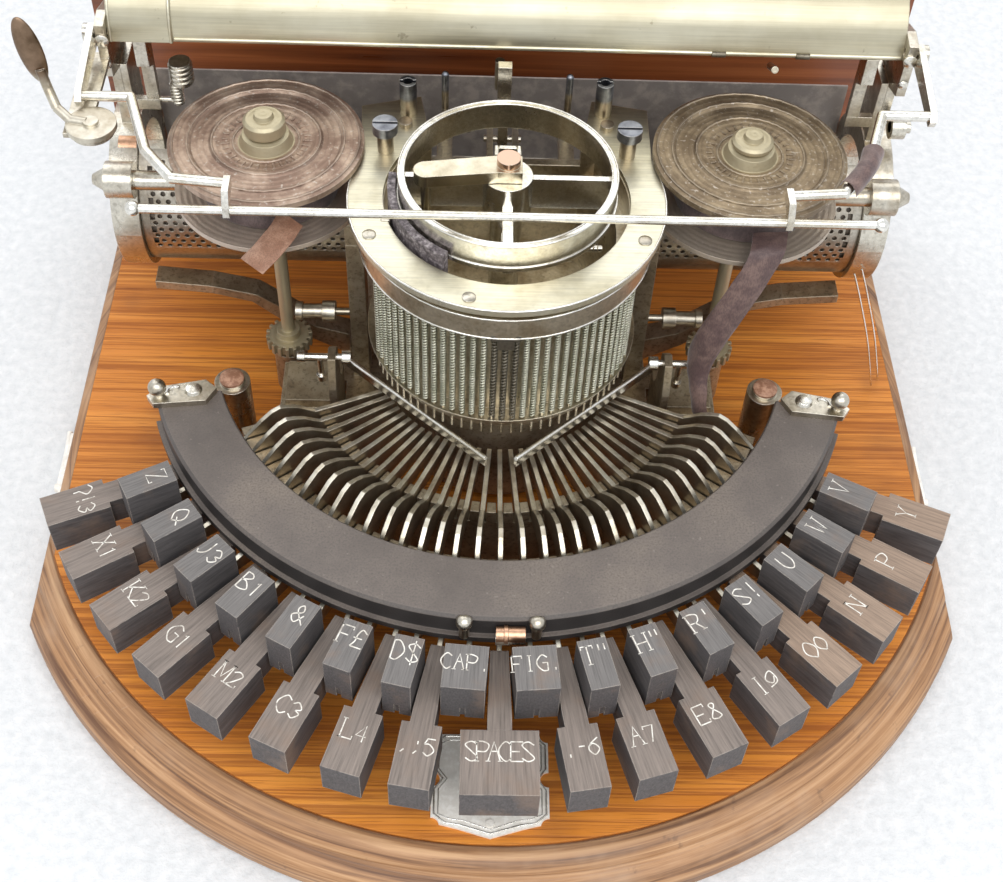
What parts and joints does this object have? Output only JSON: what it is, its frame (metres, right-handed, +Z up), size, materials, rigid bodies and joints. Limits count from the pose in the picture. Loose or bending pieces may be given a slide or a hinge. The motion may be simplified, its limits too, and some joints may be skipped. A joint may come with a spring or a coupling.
{
  "type": "typewriter",
  "caption": "Antique typewriter on a round-fronted oak base, with two arcs of ebony keys, a drum with a swinging type shuttle, ribbon spools and a sliding carriage.",
  "frame": {"origin": "underside of the wooden base, below the drum's upright axis, which is the centre of both key arcs", "axes": "+Z up, X to the typist's right along the carriage, +Y to the back"},
  "size_m": [0.321, 0.3185, 0.1794],
  "materials": {
    "oak": "oiled oak with dark grain",
    "moulding": "worn dark oak moulding",
    "red_wood": "polished reddish wood",
    "ebony": "worn ebony",
    "iron": "oily aged cast iron",
    "japan": "black japanning with fine grain",
    "nickel": "aged nickel plate",
    "plate_nickel": "yellowed brushed nickel",
    "basket_nickel": "perforated nickel sheet",
    "old_nickel": "dull aged nickel",
    "spring_wire": "greenish spring wire",
    "steel": "bright worn steel",
    "shuttle": "dark vulcanised rubber",
    "spool_iron": "corroded brown metal",
    "ribbon": "inked purple-brown ribbon",
    "roller": "aged rubber sleeve"
  },
  "bodies": {
    "machine": {"base_board": "oak", "base_rim": "moulding", "back_board": "red_wood", "base_fittings": "nickel", "main_frame": "iron", "lever_comb": "iron", "key_cover": "japan", "cover_fittings": "nickel", "drum_core": "old_nickel", "drum_plate": "plate_nickel", "drum_springs": "spring_wire", "stop_pins": "steel", "plate_fittings": "steel", "anvil_ring": "plate_nickel", "ribbon_tails": "ribbon"},
    "carriage": {"carriage_frame": "nickel", "paper_basket": "basket_nickel", "top_cover": "plate_nickel"},
    "bail_body": {"bail": "nickel"},
    "line_lever_body": {"line_space_lever": "nickel"},
    "roller_body": {"feed_roller": "roller"},
    "spool_left_body": {"spool_left": "spool_iron"},
    "spool_right_body": {"spool_right": "spool_iron"},
    "shuttle_body": {"type_shuttle": "shuttle"},
    "hammer_body": {"hammer": "steel"},
    "bar_left_body": {"universal_bar_left": "steel"},
    "bar_right_body": {"universal_bar_right": "steel"},
    "lever_question": {"key_question": "ebony"},
    "lever_x": {"key_x": "ebony"},
    "lever_k": {"key_k": "ebony"},
    "lever_g": {"key_g": "ebony"},
    "lever_m": {"key_m": "ebony"},
    "lever_c": {"key_c": "ebony"},
    "lever_l": {"key_l": "ebony"},
    "lever_comma": {"key_comma": "ebony"},
    "lever_space": {"key_space": "ebony"},
    "lever_period": {"key_period": "ebony"},
    "lever_a": {"key_a": "ebony"},
    "lever_e": {"key_e": "ebony"},
    "lever_i": {"key_i": "ebony"},
    "lever_o": {"key_o": "ebony"},
    "lever_n": {"key_n": "ebony"},
    "lever_p": {"key_p": "ebony"},
    "lever_y": {"key_y": "ebony"},
    "lever_z": {"key_z": "ebony"},
    "lever_q": {"key_q": "ebony"},
    "lever_j": {"key_j": "ebony"},
    "lever_b": {"key_b": "ebony"},
    "lever_ampersand": {"key_ampersand": "ebony"},
    "lever_f": {"key_f": "ebony"},
    "lever_d": {"key_d": "ebony"},
    "lever_cap": {"key_cap": "ebony"},
    "lever_fig": {"key_fig": "ebony"},
    "lever_t": {"key_t": "ebony"},
    "lever_h": {"key_h": "ebony"},
    "lever_r": {"key_r": "ebony"},
    "lever_s": {"key_s": "ebony"},
    "lever_u": {"key_u": "ebony"},
    "lever_w": {"key_w": "ebony"},
    "lever_v": {"key_v": "ebony"}
  },
  "joints": [
    {"name": "carriage_slide", "type": "slide", "parent": "machine", "child": "carriage", "axis": [1, 0, 0], "range_m": [-0.065, 0.065]},
    {"name": "bail_lift", "type": "hinge", "parent": "carriage", "child": "bail_body", "pos_m": [0, 0.046, 0.1545], "axis": [-1, 0, 0], "range_deg": [0, 25]},
    {"name": "line_space", "type": "hinge", "parent": "carriage", "child": "line_lever_body", "pos_m": [-0.1257, 0.0089, 0.1472], "axis": [0, 0, 1], "range_deg": [-15, 20], "stiffness_Nm_per_rad": 0.08},
    {"name": "feed_roller_turn", "type": "hinge", "parent": "carriage", "child": "roller_body", "pos_m": [0, 0.06, 0.149], "axis": [1, 0, 0], "continuous": true},
    {"name": "spool_left_turn", "type": "hinge", "parent": "machine", "child": "spool_left_body", "pos_m": [-0.0757, 0.0204, 0.12], "axis": [0, 0, 1], "continuous": true},
    {"name": "spool_right_turn", "type": "hinge", "parent": "machine", "child": "spool_right_body", "pos_m": [0.0769, 0.0192, 0.12], "axis": [0, 0, 1], "continuous": true},
    {"name": "shuttle_turn", "type": "hinge", "parent": "machine", "child": "shuttle_body", "pos_m": [0, 0, 0.135], "axis": [0, 0, 1], "range_deg": [0, 60]},
    {"name": "hammer_swing", "type": "hinge", "parent": "machine", "child": "hammer_body", "pos_m": [-0.001, 0.041, 0.1202], "axis": [1, 0, 0], "range_deg": [-2, 5], "stiffness_Nm_per_rad": 0.05},
    {"name": "bar_left_lift", "type": "hinge", "parent": "machine", "child": "bar_left_body", "pos_m": [-0.06, -0.0095, 0.0666], "axis": [-1, 0, 0], "range_deg": [0, 4], "stiffness_Nm_per_rad": 0.05, "springref_deg": -5.73},
    {"name": "bar_right_lift", "type": "hinge", "parent": "machine", "child": "bar_right_body", "pos_m": [0.06, -0.0095, 0.0666], "axis": [-1, 0, 0], "range_deg": [0, 4], "stiffness_Nm_per_rad": 0.05, "springref_deg": -5.73},
    {"name": "press_question", "type": "hinge", "parent": "machine", "child": "lever_question", "pos_m": [-0.08057, -0.03539, 0.0525], "axis": [0.4022, -0.9156, 0], "range_deg": [0, 5], "stiffness_Nm_per_rad": 0.3, "springref_deg": -6.88},
    {"name": "press_x", "type": "hinge", "parent": "machine", "child": "lever_x", "pos_m": [-0.07463, -0.04663, 0.0525], "axis": [0.5299, -0.848, 0], "range_deg": [0, 5], "stiffness_Nm_per_rad": 0.3, "springref_deg": -6.88},
    {"name": "press_k", "type": "hinge", "parent": "machine", "child": "lever_k", "pos_m": [-0.06713, -0.0569, 0.0525], "axis": [0.6466, -0.7628, 0], "range_deg": [0, 5], "stiffness_Nm_per_rad": 0.3, "springref_deg": -6.88},
    {"name": "press_g", "type": "hinge", "parent": "machine", "child": "lever_g", "pos_m": [-0.05823, -0.06598, 0.0525], "axis": [0.7498, -0.6617, 0], "range_deg": [0, 5], "stiffness_Nm_per_rad": 0.3, "springref_deg": -6.88},
    {"name": "press_m", "type": "hinge", "parent": "machine", "child": "lever_m", "pos_m": [-0.04811, -0.07368, 0.0525], "axis": [0.8373, -0.5467, 0], "range_deg": [0, 5], "stiffness_Nm_per_rad": 0.3, "springref_deg": -6.88},
    {"name": "press_c", "type": "hinge", "parent": "machine", "child": "lever_c", "pos_m": [-0.03699, -0.07985, 0.0525], "axis": [0.9074, -0.4204, 0], "range_deg": [0, 5], "stiffness_Nm_per_rad": 0.3, "springref_deg": -6.88},
    {"name": "press_l", "type": "hinge", "parent": "machine", "child": "lever_l", "pos_m": [-0.02517, -0.08432, 0.0525], "axis": [0.9582, -0.286, 0], "range_deg": [0, 5], "stiffness_Nm_per_rad": 0.3, "springref_deg": -6.88},
    {"name": "press_comma", "type": "hinge", "parent": "machine", "child": "lever_comma", "pos_m": [-0.0143, -0.08683, 0.0525], "axis": [0.9867, -0.1625, 0], "range_deg": [0, 5], "stiffness_Nm_per_rad": 0.3, "springref_deg": -6.88},
    {"name": "press_space", "type": "hinge", "parent": "machine", "child": "lever_space", "pos_m": [0, -0.088, 0.0525], "axis": [1, 0, 0], "range_deg": [0, 5], "stiffness_Nm_per_rad": 0.3, "springref_deg": -6.88},
    {"name": "press_period", "type": "hinge", "parent": "machine", "child": "lever_period", "pos_m": [0.0143, -0.08683, 0.0525], "axis": [0.9867, 0.1625, 0], "range_deg": [0, 5], "stiffness_Nm_per_rad": 0.3, "springref_deg": -6.88},
    {"name": "press_a", "type": "hinge", "parent": "machine", "child": "lever_a", "pos_m": [0.02517, -0.08432, 0.0525], "axis": [0.9582, 0.286, 0], "range_deg": [0, 5], "stiffness_Nm_per_rad": 0.3, "springref_deg": -6.88},
    {"name": "press_e", "type": "hinge", "parent": "machine", "child": "lever_e", "pos_m": [0.03699, -0.07985, 0.0525], "axis": [0.9074, 0.4204, 0], "range_deg": [0, 5], "stiffness_Nm_per_rad": 0.3, "springref_deg": -6.88},
    {"name": "press_i", "type": "hinge", "parent": "machine", "child": "lever_i", "pos_m": [0.04811, -0.07368, 0.0525], "axis": [0.8373, 0.5467, 0], "range_deg": [0, 5], "stiffness_Nm_per_rad": 0.3, "springref_deg": -6.88},
    {"name": "press_o", "type": "hinge", "parent": "machine", "child": "lever_o", "pos_m": [0.05823, -0.06598, 0.0525], "axis": [0.7498, 0.6617, 0], "range_deg": [0, 5], "stiffness_Nm_per_rad": 0.3, "springref_deg": -6.88},
    {"name": "press_n", "type": "hinge", "parent": "machine", "child": "lever_n", "pos_m": [0.06713, -0.0569, 0.0525], "axis": [0.6466, 0.7628, 0], "range_deg": [0, 5], "stiffness_Nm_per_rad": 0.3, "springref_deg": -6.88},
    {"name": "press_p", "type": "hinge", "parent": "machine", "child": "lever_p", "pos_m": [0.07463, -0.04663, 0.0525], "axis": [0.5299, 0.848, 0], "range_deg": [0, 5], "stiffness_Nm_per_rad": 0.3, "springref_deg": -6.88},
    {"name": "press_y", "type": "hinge", "parent": "machine", "child": "lever_y", "pos_m": [0.08057, -0.03539, 0.0525], "axis": [0.4022, 0.9156, 0], "range_deg": [0, 5], "stiffness_Nm_per_rad": 0.3, "springref_deg": -6.88},
    {"name": "press_z", "type": "hinge", "parent": "machine", "child": "lever_z", "pos_m": [-0.0778, -0.04112, 0.0525], "axis": [0.4673, -0.8841, 0], "range_deg": [0, 5], "stiffness_Nm_per_rad": 0.3, "springref_deg": -6.88},
    {"name": "press_q", "type": "hinge", "parent": "machine", "child": "lever_q", "pos_m": [-0.07106, -0.0519, 0.0525], "axis": [0.5898, -0.8075, 0], "range_deg": [0, 5], "stiffness_Nm_per_rad": 0.3, "springref_deg": -6.88},
    {"name": "press_j", "type": "hinge", "parent": "machine", "child": "lever_j", "pos_m": [-0.06284, -0.0616, 0.0525], "axis": [0.7, -0.7141, 0], "range_deg": [0, 5], "stiffness_Nm_per_rad": 0.3, "springref_deg": -6.88},
    {"name": "press_b", "type": "hinge", "parent": "machine", "child": "lever_b", "pos_m": [-0.05331, -0.07001, 0.0525], "axis": [0.7956, -0.6058, 0], "range_deg": [0, 5], "stiffness_Nm_per_rad": 0.3, "springref_deg": -6.88},
    {"name": "press_ampersand", "type": "hinge", "parent": "machine", "child": "lever_ampersand", "pos_m": [-0.04266, -0.07697, 0.0525], "axis": [0.8746, -0.4848, 0], "range_deg": [0, 5], "stiffness_Nm_per_rad": 0.3, "springref_deg": -6.88},
    {"name": "press_f", "type": "hinge", "parent": "machine", "child": "lever_f", "pos_m": [-0.03113, -0.08231, 0.0525], "axis": [0.9354, -0.3537, 0], "range_deg": [0, 5], "stiffness_Nm_per_rad": 0.3, "springref_deg": -6.88},
    {"name": "press_d", "type": "hinge", "parent": "machine", "child": "lever_d", "pos_m": [-0.0198, -0.08575, 0.0525], "axis": [0.9744, -0.225, 0], "range_deg": [0, 5], "stiffness_Nm_per_rad": 0.3, "springref_deg": -6.88},
    {"name": "press_cap", "type": "hinge", "parent": "machine", "child": "lever_cap", "pos_m": [-0.00727, -0.0877, 0.0525], "axis": [0.9966, -0.0826, 0], "range_deg": [0, 5], "stiffness_Nm_per_rad": 0.3, "springref_deg": -6.88},
    {"name": "press_fig", "type": "hinge", "parent": "machine", "child": "lever_fig", "pos_m": [0.00727, -0.0877, 0.0525], "axis": [0.9966, 0.0826, 0], "range_deg": [0, 5], "stiffness_Nm_per_rad": 0.3, "springref_deg": -6.88},
    {"name": "press_t", "type": "hinge", "parent": "machine", "child": "lever_t", "pos_m": [0.0198, -0.08575, 0.0525], "axis": [0.9744, 0.225, 0], "range_deg": [0, 5], "stiffness_Nm_per_rad": 0.3, "springref_deg": -6.88},
    {"name": "press_h", "type": "hinge", "parent": "machine", "child": "lever_h", "pos_m": [0.03113, -0.08231, 0.0525], "axis": [0.9354, 0.3537, 0], "range_deg": [0, 5], "stiffness_Nm_per_rad": 0.3, "springref_deg": -6.88},
    {"name": "press_r", "type": "hinge", "parent": "machine", "child": "lever_r", "pos_m": [0.04266, -0.07697, 0.0525], "axis": [0.8746, 0.4848, 0], "range_deg": [0, 5], "stiffness_Nm_per_rad": 0.3, "springref_deg": -6.88},
    {"name": "press_s", "type": "hinge", "parent": "machine", "child": "lever_s", "pos_m": [0.05331, -0.07001, 0.0525], "axis": [0.7956, 0.6058, 0], "range_deg": [0, 5], "stiffness_Nm_per_rad": 0.3, "springref_deg": -6.88},
    {"name": "press_u", "type": "hinge", "parent": "machine", "child": "lever_u", "pos_m": [0.06284, -0.0616, 0.0525], "axis": [0.7, 0.7141, 0], "range_deg": [0, 5], "stiffness_Nm_per_rad": 0.3, "springref_deg": -6.88},
    {"name": "press_w", "type": "hinge", "parent": "machine", "child": "lever_w", "pos_m": [0.07106, -0.0519, 0.0525], "axis": [0.5898, 0.8075, 0], "range_deg": [0, 5], "stiffness_Nm_per_rad": 0.3, "springref_deg": -6.88},
    {"name": "press_v", "type": "hinge", "parent": "machine", "child": "lever_v", "pos_m": [0.0778, -0.04112, 0.0525], "axis": [0.4673, 0.8841, 0], "range_deg": [0, 5], "stiffness_Nm_per_rad": 0.3, "springref_deg": -6.88}
  ]
}
